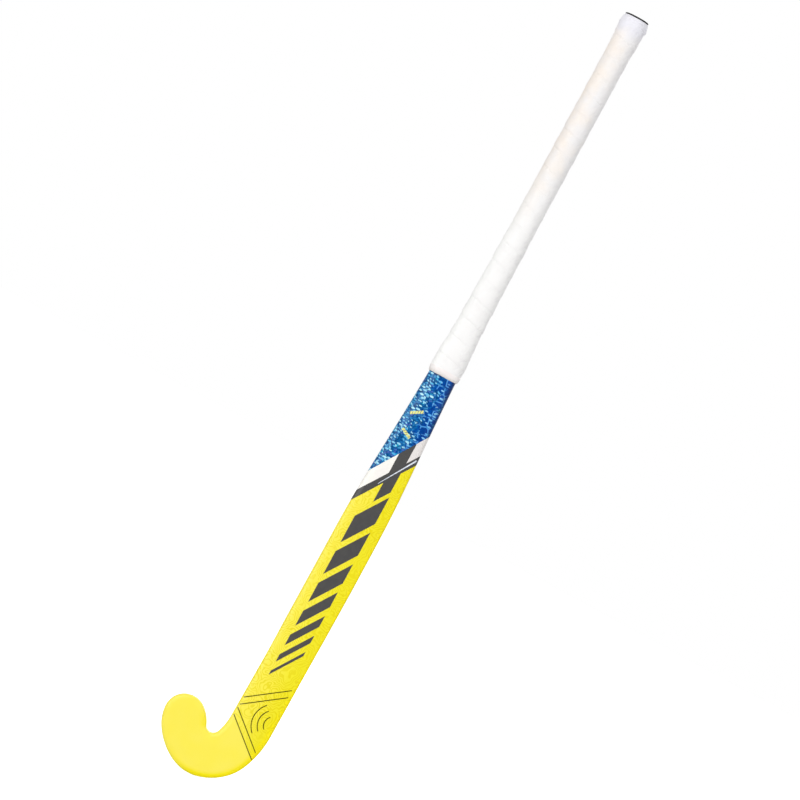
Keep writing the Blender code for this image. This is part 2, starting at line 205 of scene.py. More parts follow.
def with_slopes(stations, column):
    """(place, value, slope) rows of one column, with slopes that never overshoot."""
    rows = []
    for i, row in enumerate(stations):
        slope = 0.0
        if 0 < i < len(stations) - 1:
            before, after = stations[i - 1], stations[i + 1]
            left = (row[column] - before[column]) / (row[0] - before[0])
            right = (after[column] - row[column]) / (after[0] - row[0])
            if left * right > 0:
                slope = 2 * left * right / (left + right)
        rows.append((row[0], row[column], slope))
    return rows


COLUMNS = [with_slopes(STATIONS, column) for column in range(1, 6)]


def section_at(distance):
    return [hermite(column, distance) for column in COLUMNS]


def growth_at(profile, distance):
    return hermite(with_slopes(profile, 1), distance)


def placed(flat, depth):
    """Points in metres from (across, height) pairs and depths behind the stick's middle."""
    height = flat[..., 1]
    back = depth + hermite(BOW, height) - hermite(BOW, LENGTH - HAND)
    return np.stack([flat[..., 0], back, height - (LENGTH - HAND)], -1) * MM


# --- Ribs ---

def inward(heading):
    return np.array([-cos(heading), sin(heading)])


def along(heading):
    return np.array([-sin(heading), -cos(heading)])


def walk_arc(point, heading, radius, turn, step):
    """Points and headings along an arc. Heading 0 is down, and turns towards -X."""
    bend = 1 if radius > 0 else -1
    radius = abs(radius)
    centre = point + bend * radius * inward(heading)
    count = max(1, ceil(turn / step))
    found = []
    for i in range(1, count + 1):
        now = heading + bend * radians(turn) * i / count
        found.append((centre - bend * radius * inward(now), now))
    return found


def edge_chain():
    """The heel side's points with headings, the toe arc's centre, and the crook side's points."""
    heading = radians(EDGE_TILT)
    steps = round(EDGE_LINE / EDGE_STEP)
    step = along(heading) * EDGE_LINE / steps
    heel = [(np.array(EDGE_START) + step * i, heading) for i in range(steps + 1)]
    for radius, turn in HEEL_ARCS:
        heel += walk_arc(*heel[-1], radius, turn, ARC_STEP)
    point, heading = heel[-1]
    toe_middle = point + TOE_ARC[0] * inward(heading)
    crook = walk_arc(point, heading, *TOE_ARC, TOE_ARC[1])
    for radius, turn in CROOK_ARCS:
        crook += walk_arc(*crook[-1], radius, turn, degrees(FINE_STEP / abs(radius)))
    point, heading = crook[-1]
    count = round(CROOK_LINE / FINE_STEP)
    line = point + np.arange(1, count)[:, None] * FINE_STEP * along(heading)
    drop = np.array([0, min(p[1] for p, _ in heel)])
    crook = np.vstack([[p for p, _ in crook], line]) - drop
    return [(p - drop, h) for p, h in heel], toe_middle - drop, crook


def widest_circle(point, heading, others):
    """The middle of the largest circle that touches the edge here and the other edge, and its foot."""
    normal = inward(heading)
    across = others - point
    reach = across @ normal
    ahead = reach > LEAST_REACH
    radius = np.full(len(others), np.inf)
    radius[ahead] = (across[ahead] ** 2).sum(1) / (2 * reach[ahead])
    foot = radius.argmin()
    return point + normal * radius[foot], others[foot]


def mixed(before, after, share):
    return Rib(*(a + (b - a) * share for a, b in zip(before, after)))


def make_ribs():
    """Ribs across the stick from the butt to the toe."""
    hidden = np.arange(0, HIDDEN_END, HIDDEN_STEP)
    seen = np.arange(HIDDEN_END, SHAFT_END + SEEN_STEP / 2, SEEN_STEP)
    ribs = []
    for distance in (*hidden, *seen):
        half, *rest = section_at(distance)
        height = LENGTH - distance
        feet = [np.array([across, height]) for across in (0.0, half, -half)]
        ribs.append(Rib(distance, *feet, half, *rest))
    heel, toe_middle, crook = edge_chain()
    heel = [(point, heading) for point, heading in heel if point[1] <= HEAD_TOP]
    head = []
    for point, heading in heel:
        middle, foot = widest_circle(point, heading, crook)
        if point is heel[-1][0]:
            middle, foot = toe_middle, crook[0]
        last = (head or ribs)[-1]
        distance = last.distance + np.linalg.norm(middle - last.middle)
        _, *rest = section_at(distance)
        head.append(Rib(distance, middle, point, foot, np.linalg.norm(point - middle), *rest))
    last = ribs[-1]
    count = round((head[0].distance - last.distance) / SEEN_STEP)
    throat = [mixed(last, head[0], i / count) for i in range(1, count)]
    return ribs + throat + head


RIBS = make_ribs()
RIB_PLACES = [rib.distance for rib in RIBS]


def rib_at(distance):
    i = min(max(bisect.bisect(RIB_PLACES, distance), 1), len(RIBS) - 1)
    before, after = RIBS[i - 1], RIBS[i]
    return mixed(before, after, (distance - before.distance) / (after.distance - before.distance))


# --- Points on the stick ---
# A ring starts at the middle of the back, and passes the toe's side, the face and the heel's side.

ANGLES = np.radians(-270 + 360 * np.arange(RING) / RING)
FACE_MIDDLE = RING // 2


def outline(section, angle, growth):
    """Across and depth of points round a section. An angle of -90 degrees is the face's middle."""
    half, front, back, front_power, back_power = section
    c, s = np.cos(angle), np.sin(angle)
    power = np.where(s < 0, front_power, back_power)
    reach = (abs(c) ** power + abs(s) ** power) ** (-1 / power)
    return (half + growth) * reach * c, (np.where(s < 0, front, back) + growth) * reach * s


def rib_points(rib, growth):
    across, depth = outline(rib[4:], ANGLES, growth)
    foot = np.where(across[:, None] > 0, rib.heel, rib.crook)
    return placed(rib.middle + (foot - rib.middle) * (abs(across) / rib.half)[:, None], depth)


def shaft_points(distance, angle, growth):
    """Points on the straight part, where each may have its own distance, angle and growth."""
    across, depth = outline(section_at(distance), angle, growth)
    return placed(np.stack([across, LENGTH - distance + 0 * across], -1), depth)


EDGES = [(before, after, getattr(before, side), getattr(after, side))
         for before, after in zip(RIBS, RIBS[1:]) for side in ("heel", "crook")]
EDGE_FROM = np.array([row[2] for row in EDGES])
EDGE_RUN = np.array([row[3] for row in EDGES]) - EDGE_FROM
EDGE_SQUARE = np.maximum((EDGE_RUN ** 2).sum(1), LEAST_SQUARE)


def nearest_edge(flat):
    """The number of the nearest piece of edge, the share of it passed there, and the gap to it."""
    share = np.clip(((flat - EDGE_FROM) * EDGE_RUN).sum(1) / EDGE_SQUARE, 0, 1)
    gap = np.linalg.norm(EDGE_FROM + EDGE_RUN * share[:, None] - flat, axis=1)
    nearest = gap.argmin()
    return nearest, share[nearest], gap[nearest]


def face_point(across, distance, growth):
    """A point over the playing face, from its place on the flat and the nearest edge."""
    flat = np.array([across, LENGTH - distance])
    nearest, share, gap = nearest_edge(flat)
    rib = mixed(*EDGES[nearest][:2], share)
    out = np.clip(1 - gap / rib.half, 0, 1)
    depth = rib.front * (1 - out ** rib.front_power) ** (1 / rib.front_power) + growth
    return placed(flat, -depth)


def painted_shade_rim_shares(points):
    """How far into the deeper yellow rim of painted shade each point is, from 0 to 1."""
    flat = points[:, [0, 2]] / MM + (0.0, LENGTH - HAND)
    away = EDGE_FROM - np.array([row[0].middle for row in EDGES])
    toward = np.clip(away @ SHADE_RIM_TOWARD / np.linalg.norm(away, axis=1), 0, 1)
    shares = []
    for place in flat:
        nearest, _, gap = nearest_edge(place)
        width = np.interp(place[1], *SHADE_RIM_WIDTHS)
        shares.append(toward[nearest] * smooth_step(gap, width, SHADE_RIM_FULL * width))
    return np.array(shares)


# --- Meshes ---

def turn_outward(mesh):
    """Turns the faces over if the closed mesh is inside out."""
    solid = bmesh.new()
    solid.from_mesh(mesh)
    inside_out = solid.calc_volume(signed=True) < 0
    solid.free()
    if inside_out:
        mesh.flip_normals()


def new_object(name, data):
    obj = bpy.data.objects.new(name, data)
    bpy.context.scene.collection.objects.link(obj)
    return obj


def make_piece(name, sheets, material, replaced=(), printed=False):
    """A smooth closed mesh that rides on the stick. A printed one carries the print map."""
    mesh = bpy.data.meshes.new(name)
    mesh.from_pydata(np.asarray(sheets.points).tolist(), [], sheets.faces)
    if printed:
        corners = [mark for face in sheets.marks for mark in face]
        mesh.uv_layers.new(name="Print").data.foreach_set("uv", np.array(corners).ravel())
    mesh.validate()
    turn_outward(mesh)
    mesh.shade_smooth()
    mesh.set_sharp_from_angle(angle=radians(SHARP_ANGLE))
    mesh.materials.append(material)
    piece = new_object(name, mesh)
    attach(piece, "root")
    if replaced:
        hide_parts(*replaced)
    return piece


class Sheets:
    """Points and faces, gathered row by row."""

    def __init__(self):
        self.points = []
        self.faces = []
        self.marks = []

    def row(self, points):
        start = len(self.points)
        self.points += list(points)
        return list(range(start, len(self.points)))

    def join(self, first, second, closed=True, marks=None):
        """Faces between two rows of points. marks holds each row's places in the print map."""
        count = len(first)
        upper, lower = marks or [np.zeros((count + 1, 2))] * 2
        for i in range(count if closed else count - 1):
            j = (i + 1) % count
            self.faces.append((first[i], first[j], second[j], second[i]))
            self.marks.append([upper[i], upper[i + 1], lower[i + 1], lower[i]])

    def join_rows(self, rows, flip=False, closed=True, marks=None):
        """Faces between each row and the next, turned over by flip."""
        for i in range(len(rows) - 1):
            first, second = (i + 1, i) if flip else (i, i + 1)
            self.join(rows[first], rows[second], closed, marks and (marks[first], marks[second]))


def toe_cap(sheets, ring, growth, flip):
    """The toe's round end: half of the last ring turned about the toe's middle."""
    rib = RIBS[-1]
    turns = ceil(TOE_ARC[1] / (2 * ARC_STEP))
    start = (rib.heel - rib.middle) / rib.half
    angles = ANGLES[FACE_MIDDLE:]
    across, depth = outline(rib[4:], angles, growth)
    profiles = [ring[FACE_MIDDLE:] + ring[:1]]
    for k in range(1, turns):
        turn = radians(TOE_ARC[1]) * k / turns
        c, s = cos(turn), sin(turn)
        toward = start @ np.array([[c, -s], [s, c]])
        points = placed(rib.middle + across[1:, None] * toward, depth[1:])
        profiles.append([ring[FACE_MIDDLE]] + sheets.row(points) + [ring[0]])
    profiles.append(ring[FACE_MIDDLE::-1])
    for first, second in zip(profiles, profiles[1:]):
        for a, b, c, d in zip(first, first[1:], second[1:], second):
            corners = list(dict.fromkeys((a, b, c, d)))
            sheets.faces.append(tuple(corners[::-1] if flip else corners))


def lacquered_shell(material):
    """The hollow moulding: an outside, an inside with fewer ribs, and the rim under the cap."""
    sheets = Sheets()
    start = rib_at(SHELL_START)
    shown = [start] + [rib for rib in RIBS if rib.distance > SHELL_START + 1]
    inner = [start] + shown[INNER_EVERY:-INNER_EVERY:INNER_EVERY] + [RIBS[-1]]
    rims = []
    for ribs, growth, flip in ((shown, 0.0, False), (inner, -WALL, True)):
        rows = [sheets.row(rib_points(rib, growth)) for rib in ribs]
        sheets.join_rows(rows, flip)
        toe_cap(sheets, rows[-1], growth, flip)
        rims.append(rows[0])
    sheets.join(rims[1], rims[0])
    shell = make_piece("shell_lacquered", sheets, material, ["shaft_shell"])
    # The rim attribute carries painted shade: deeper yellow on edges that face away from the key light.
    rim = shell.data.attributes.new("PaintedShadeRim", "FLOAT", "POINT")
    rim.data.foreach_set("value", painted_shade_rim_shares(np.array(sheets.points)))


def profile_rows(sheets, profile, wound=0.0):
    """A row of points round the shaft for each (distance, growth) of a profile."""
    return [sheets.row(shaft_points(distance, ANGLES, growth + wound)) for distance, growth in profile]


def round_cap(material):
    """The rubber cap, with a shallow dish and a raised ring on its top."""
    sheets = Sheets()
    rows = profile_rows(sheets, CAP_PROFILE)
    sheets.join_rows(rows)
    sheets.faces += [tuple(rows[0][::-1]), tuple(rows[-1])]
    make_piece("cap_rubber_round", sheets, material, ["end_cap"])


# --- The grip ---

def lap_heights():
    """Each lap's edge height: the hands that wound it pulled harder on some turns."""
    chance = random.Random(11)
    count = ceil(GRIP[-1][0] / LAP_PITCH) + 2 * SPARE_LAPS
    return [chance.uniform(*LAP_STEP) for _ in range(count)]


def lap_relief(share, height):
    """How a lap climbs over the one below, and its rounded lower edge."""
    climb = LAP_LOW + (1 - LAP_LOW) * smooth_step(share, *LAP_RISE)
    fall = np.clip((share - LAP_RISE[1]) / (1 - LAP_RISE[1]), 0, 1)
    return height * (climb * np.sqrt(np.maximum(1 - fall ** 3, 0)) - LAP_SUNK)


def helix_noise(lap, angle, reach, climb):
    """Soft noise along a helix, from about -1 to 1."""
    return noise.noise(Vector((reach * cos(angle), reach * sin(angle), lap * climb)))


def helix_crossings(steps):
    """The distance where the helix of creases crosses the ring, at each step round it."""
    laps = np.array(steps) / RING
    stray = [helix_noise(lap, 2 * pi * lap, 0.9, 0.8) for lap in laps]
    return LAP_START + LAP_PITCH * laps + LAP_WANDER * np.array(stray)


def swelling(angle, distance):
    """The cushion's soft unevenness at each angle and distance."""
    round_places = [part + 0 * distance for part in (np.cos(angle), np.sin(angle))]
    places = np.stack([*round_places, distance], -1) * SWELL_SCALE
    swell = [sum(share * noise.noise(place * fineness) for fineness, share in SWELL_OCTAVES)
             for place in map(Vector, places.reshape(-1, 3).tolist())]
    return SWELL * np.array(swell).reshape(distance.shape)


def wound_strip():
    """The strip's ring columns, and its distances and points by (step round the helix, row in a lap)."""
    heights = np.array(lap_heights())
    start, end = GRIP[0][0], GRIP[-1][0]
    steps = np.arange(-SPARE_LAPS * RING, (len(heights) - SPARE_LAPS - 1) * RING)
    column = (steps + FACE_MIDDLE) % RING
    angle = ANGLES[column][:, None]
    crossings = helix_crossings(range(steps[0], steps[-1] + RING + 1))
    top, bottom = crossings[:len(steps), None], crossings[RING:RING + len(steps), None]
    share = np.array(LAP_ROWS)
    distance = np.clip(top + (bottom - top) * share, start, end)
    height = np.interp(steps / RING + SPARE_LAPS, range(len(heights)), heights)
    uneven = [helix_noise(lap, a, 1.0, 1.7) for a, lap in zip(angle[:, 0], steps / RING)]
    height = (height * (LAP_UNEVEN[0] + LAP_UNEVEN[1] * np.array(uneven)))[:, None]
    ending = smooth_step(distance, end - LAPS_END[0], end - LAPS_END[1])
    fade = smooth_step(distance, start, start + LAPS_GROW) * (1 - ending)
    growth = growth_at(GRIP, distance) + fade * (lap_relief(share, height) + swelling(angle, distance))
    return column, distance, shaft_points(distance, angle, growth)


def wound_grip(material):
    """The cushion tape. Its outside is one strip wound in a helix, each turn lying over the next."""
    column, distance, points = wound_strip()
    sheets = Sheets()
    made = {}

    def corner(step, row):
        key = column[step], round(distance[step, row], 3)
        if key not in made:
            made[key] = len(sheets.points)
            sheets.points.append(points[step, row])
        return made[key]

    for step in range(len(column) - 1):
        for row in range(len(LAP_ROWS) - 1):
            corners = dict.fromkeys((corner(step, row), corner(step + 1, row),
                                     corner(step + 1, row + 1), corner(step, row + 1)))
            if len(corners) > 2:
                sheets.faces.append(tuple(corners))
    ends = GRIP[0][0], GRIP[-1][0]
    rims = [[made[i, round(place, 3)] for i in range(RING)] for place in ends]
    inside = [(place, growth_at(GRIP_INSIDE, place)) for place in np.linspace(*ends, INSIDE_ROWS)]
    rows = profile_rows(sheets, inside)
    sheets.join_rows(rows, flip=True)
    sheets.join(rows[0], rims[0])
    sheets.join(rims[1], rows[-1])
    make_piece("grip_wound", sheets, material, ["grip_tape"])


def finish_tape(material):
    """The narrow tape round the grip's lower end, wound over its own start."""
    sheets = Sheets()
    rows = profile_rows(sheets, TAPE, TAPE_STEP * np.arange(RING) / RING)
    rows += profile_rows(sheets, TAPE_INSIDE)[::-1]
    sheets.join_rows(rows + rows[:1])
    make_piece("tape_finish", sheets, material, ["grip_finish_tape"])


# --- The films ---

def edge_distances(edge):
    """Where a slanted edge, or a level one, crosses each angle of the ring."""
    distance = edge[0]
    for _ in range(EDGE_PASSES):
        across, _ = outline(section_at(distance), ANGLES, 0.0)
        distance = edge[0] - edge[1] * across
    return distance


def print_map(points, distance):
    """Places in the print map: millimetres round the stick from the face's middle, and distance."""
    around = np.vstack([points, points[:1]]) / MM
    steps = np.hypot(*np.diff(around, axis=0)[:, :2].T)
    girth = np.concatenate([[0], np.cumsum(steps)])
    girth -= girth[FACE_MIDDLE]
    return np.stack([girth, np.append(distance, distance[0])], -1)


def wrap(name, top, bottom, growth, material, node):
    """A film round the shaft between two edges."""
    sheets = Sheets()
    ends = edge_distances(top), edge_distances(bottom)
    count = max(2, ceil(np.max(ends[1] - ends[0]) / FILM_STEP))
    distances = np.linspace(*ends, count + 1)
    layers = [[shaft_points(distance, ANGLES, stands) for distance in distances]
              for stands in (growth + FILM, growth)]
    maps = [print_map(*row) for row in zip(layers[0], distances)]
    outer, inner = ([sheets.row(points) for points in layer] for layer in layers)
    sheets.join_rows(outer, marks=maps)
    sheets.join_rows(inner, flip=True, marks=maps)
    sheets.join(inner[0], outer[0])
    sheets.join(outer[-1], inner[-1])
    make_piece(name, sheets, material, [node], printed=True)


def add_patch(sheets, grid, growth):
    """A closed film on the face. grid holds rows of (across, distance) places."""
    layers = [[sheets.row([face_point(*place, stands) for place in row]) for row in grid]
              for stands in (growth + FILM, growth)]
    for rows, flip in zip(layers, (False, True)):
        sheets.join_rows(rows, flip, closed=False)
    rims = [rows[0] + [row[-1] for row in rows[1:-1]] + rows[-1][::-1] + [row[0] for row in rows[-2:0:-1]]
            for rows in layers]
    sheets.join(rims[1], rims[0])


def patch(name, sides, top, bottom, growth, material, node):
    """A film on the face between two sides and two slanted edges."""
    columns = ceil((sides[1] - sides[0]) / FILM_STEP)
    rows = max(2, ceil((bottom[0] - top[0]) / FILM_STEP))
    across = np.linspace(*sides, columns + 1)
    ends = [edge[0] - edge[1] * across for edge in (top, bottom)]
    sheets = Sheets()
    add_patch(sheets, [list(zip(across, row)) for row in np.linspace(*ends, rows + 1)], growth)
    make_piece(name, sheets, material, [node])


def add_line(sheets, path, widths, growth):
    """A drawn line along (across, distance) points, its width changing from end to end."""
    path = np.array(path, float)
    run = np.gradient(path, axis=0)
    normal = np.stack([-run[:, 1], run[:, 0]], -1) / np.linalg.norm(run, axis=1)[:, None]
    half = np.linspace(*widths, len(path))[:, None] / 2
    add_patch(sheets, list(zip(path - normal * half, path, path + normal * half)), growth)


def straight(start, end):
    return np.linspace(start, end, ceil(dist(start, end) / LINE_STEP) + 1)


def head_lines(material):
    """Two pairs of thin lines over the head, and plain nested arcs between them."""
    sheets = Sheets()
    width = LINE_WIDTH, LINE_WIDTH
    for start, end in (UPPER_LINE, LOWER_LINE):
        for drop in (0, LINE_PAIR):
            low = [(across, distance + drop) for across, distance in (start, end)]
            add_line(sheets, straight(*low), width, UPPER_FILM)
    for radius in MOTIF_RADII:
        turns = np.radians(np.linspace(-MOTIF_TURN, MOTIF_TURN, round(radius) * 2))
        add_line(sheets, [(MOTIF_MIDDLE[0] - radius * cos(t), MOTIF_MIDDLE[1] + radius * sin(t))
                          for t in turns], width, UPPER_FILM)
    make_piece("head_lines_drawn", sheets, material, ["head_line_film"])


def pinstripe(material):
    """The light stripe across the dark bands, wider at its upper end."""
    sheets = Sheets()
    add_line(sheets, straight(*PINSTRIPE), PINSTRIPE_WIDTHS, TOP_FILM)
    make_piece("band_pinstripe", sheets, material)


# --- Materials ---

def srgb(red, green, blue):
    """A colour given as it looks on a screen, 0 to 255."""
    def linear(value):
        value /= 255
        return value / 12.92 if value <= 0.04045 else ((value + 0.055) / 1.055) ** 2.4
    return (linear(red), linear(green), linear(blue), 1.0)


class Paint:
    """A material and its nodes, written as expressions."""

    def __init__(self, name, **shader):
        self.material = bpy.data.materials.new(name)
        self.material.use_nodes = True
        self.nodes = self.material.node_tree.nodes
        self.links = self.material.node_tree.links
        self.shader = self.nodes["Principled BSDF"]
        for key, value in shader.items():
            self.shader.inputs[key.replace("_", " ").title().replace("Ior", "IOR")].default_value = value
        coordinates = self.add("ShaderNodeTexCoord").outputs
        self.place = coordinates["Object"]
        self.facing = coordinates["Normal"]

    def feed(self, socket, value):
        if isinstance(value, bpy.types.NodeSocket):
            self.links.new(value, socket)
        else:
            socket.default_value = value

    def add(self, kind, inputs=None, **settings):
        node = self.nodes.new(kind)
        for key, value in settings.items():
            setattr(node, key, value)
        for socket, value in (inputs or {}).items():
            self.feed(node.inputs[socket], value)
        return node

    def math(self, operation, *values):
        return self.add("ShaderNodeMath", dict(enumerate(values)), operation=operation).outputs[0]

    def times(self, first, second):
        return self.math("MULTIPLY", first, second)

    def plus(self, first, second):
        return self.math("ADD", first, second)

    def vector(self, operation, *values):
        return self.add("ShaderNodeVectorMath", dict(enumerate(values)), operation=operation).outputs[0]

    def split(self, vector=None):
        return self.add("ShaderNodeSeparateXYZ", {0: vector or self.place}).outputs

    def turned(self, vector, angle, axis="Z_AXIS"):
        inputs = {"Vector": vector, "Angle": angle}
        return self.add("ShaderNodeVectorRotate", inputs, rotation_type=axis).outputs[0]

    def joined(self, *parts):
        return self.add("ShaderNodeCombineXYZ", dict(enumerate(parts))).outputs[0]

    def ramp(self, value, start, end, low=0.0, high=1.0):
        """A smooth change from low to high as value goes from start to end."""
        return self.add("ShaderNodeMapRange", {"Value": value, "From Min": start, "From Max": end,
                                               "To Min": low, "To Max": high},
                        interpolation_type="SMOOTHSTEP").outputs[0]

    def blend(self, share, first, second):
        """From the first colour to the second, each a socket or as srgb() takes it."""
        first, second = (c if isinstance(c, bpy.types.NodeSocket) else srgb(*c) for c in (first, second))
        return self.add("ShaderNodeMix", {0: share, 6: first, 7: second}, data_type="RGBA").outputs[2]

    def cloud(self, scale, detail=2.0, vector=None, roughness=0.5, output="Fac"):
        """Noise with so many features in a metre."""
        inputs = {"Vector": vector or self.place, "Scale": scale, "Detail": detail, "Roughness": roughness}
        return self.add("ShaderNodeTexNoise", inputs).outputs[output]

    def voronoi(self, vector, scale, output="Distance", randomness=1.0, **settings):
        inputs = {"Vector": vector, "Scale": scale, "Randomness": randomness}
        return self.add("ShaderNodeTexVoronoi", inputs, **settings).outputs[output]

    def streaks(self, scales, detail, roughness=0.5, vector=None):
        """Noise with its own number of features in a metre along each axis."""
        place = self.vector("MULTIPLY", vector or self.place, scales)
        return self.cloud(1.0, detail, place, roughness)

    def bump(self, height, distance, strength=1.0, under=None):
        inputs = {"Height": height, "Distance": distance, "Strength": strength}
        if under:
            inputs["Normal"] = under
        return self.add("ShaderNodeBump", inputs).outputs[0]

    def finish(self, colour, roughness, normal=None, coat_normal=None):
        values = {"Base Color": colour, "Roughness": roughness, "Normal": normal, "Coat Normal": coat_normal}
        for name, value in values.items():
            if value is not None:
                self.feed(self.shader.inputs[name], value)
        return self.material


YELLOW = (244, 232, 44)
# The next colour is painted light, for the lacquer's side towards the key light.
YELLOW_PAINTED_LIGHT = (254, 239, 84)
YELLOW_DEEP = (234, 216, 16)
YELLOW_HEAD = (255, 240, 100)
YELLOW_RICH = (254, 236, 60)
# The next colour is painted shade, for edges that face away from the key light.
YELLOW_PAINTED_SHADE = (255, 238, 0)
DARK = (80, 79, 79)
DOTS = 5200.0             # the dark film's halftone, as radians in a metre
CONTOUR_MIDDLES = 42.0    # middles of the head's rings in a metre
CONTOURS = 9.6            # lines from one to the next
CONTOUR_STRAY = 0.021     # how far noise moves them, in metres
DASH_ROWS = (((-12.4, 481.4), (0.4, 474.0)), ((-11.4, 499.4), (0.2, 505.4)))   # in the print map
COAT = dict(coat_weight=0.4, coat_roughness=0.14, coat_ior=1.5, specular_ior_level=0.02)


def coated(paint, colour, roughness, relief=None):
    """A paint under a clear coat with faint orange peel, and hair-fine scratches in its gloss."""
    peel = paint.bump(paint.cloud(420, 1.0), 0.00002, 0.5)
    scratch = paint.ramp(paint.streaks((2600.0, 900.0, 160.0), 3.0, 0.7), 0.55, 0.75, 0.0, 0.10)
    return paint.finish(colour, paint.plus(roughness, scratch), relief, peel)


def contours(paint):
    """Rings like a map's contour lines, bent by soft noise. 1 on a line, 0 between."""
    stray = paint.vector("SUBTRACT", paint.cloud(60, 2.0, output="Color"), (0.5, 0.5, 0.5))
    place = paint.vector("ADD", paint.place, paint.vector("MULTIPLY", stray, (CONTOUR_STRAY,) * 3))
    cells = paint.voronoi(place, CONTOUR_MIDDLES, randomness=0.9)
    wave = paint.math("SINE", paint.times(cells, 2 * pi * CONTOURS))
    return paint.ramp(wave, -0.3, 0.8)


def yellow_lacquer():
    paint = Paint("yellow_lacquer", **COAT)
    x, _, z = paint.split()
    (left, upper), (right, lower) = LOWER_LINE
    slope = (lower - upper) / (right - left)
    level = (HAND - upper - LINE_PAIR + slope * left) * MM
    over_head = paint.plus(z, paint.times(x, slope))
    pattern = paint.ramp(over_head, level - 0.002, level + 0.002)
    strength = paint.ramp(paint.cloud(30, 1.0), 0.3, 0.7, 0.5, 1.0)
    line = paint.times(paint.times(contours(paint), pattern), strength)
    shade = paint.ramp(paint.cloud(14, 3.0), 0.35, 0.7)
    plain = paint.blend(paint.times(shade, 0.5), YELLOW_HEAD, YELLOW_RICH)
    # Painted light: the patterned lacquer is paler towards -X, where the key light falls.
    painted_light_across = paint.blend(paint.ramp(x, -0.018, 0.018), YELLOW_PAINTED_LIGHT, YELLOW)
    ground = paint.blend(pattern, plain, painted_light_across)
    # Painted shade: the rim attribute deepens the yellow on edges that face away from the key light.
    rim = paint.add("ShaderNodeAttribute", attribute_name="PaintedShadeRim").outputs["Fac"]
    ground = paint.blend(rim, ground, YELLOW_PAINTED_SHADE)
    colour = paint.blend(paint.times(line, 0.75), ground, YELLOW_DEEP)
    return coated(paint, colour, 0.34, paint.bump(line, 0.00003, 0.6))


def dark_print():
    paint = Paint("dark_print", **COAT)
    x, _, z = paint.split()
    dots = paint.times(*(paint.math("SINE", paint.times(part, DOTS)) for part in (x, z)))
    cloudy = paint.ramp(paint.cloud(160, 3.0), 0.3, 0.7)
    speck = paint.plus(paint.times(dots, 0.12), cloudy)
    colour = paint.blend(speck, DARK, (84, 83, 82))
    return coated(paint, colour, 0.42)


def white_print():
    paint = Paint("white_print", **COAT)
    x, _, _ = paint.split()
    tint = paint.blend(paint.ramp(paint.cloud(38, 2.0), 0.4, 0.65), (252, 249, 242), (248, 242, 240))
    # Painted shade: greyer towards +X, the side away from the key light.
    tint = paint.blend(paint.ramp(x, 0.0, 0.012), tint, (234, 229, 226))
    return coated(paint, tint, 0.4)


def ink(name, scale, spread, first, second, roughness):
    """A plain ink, mottled from one colour to another."""
    paint = Paint(name, **COAT)
    return coated(paint, paint.blend(paint.ramp(paint.cloud(scale, 1.0), *spread), first, second), roughness)


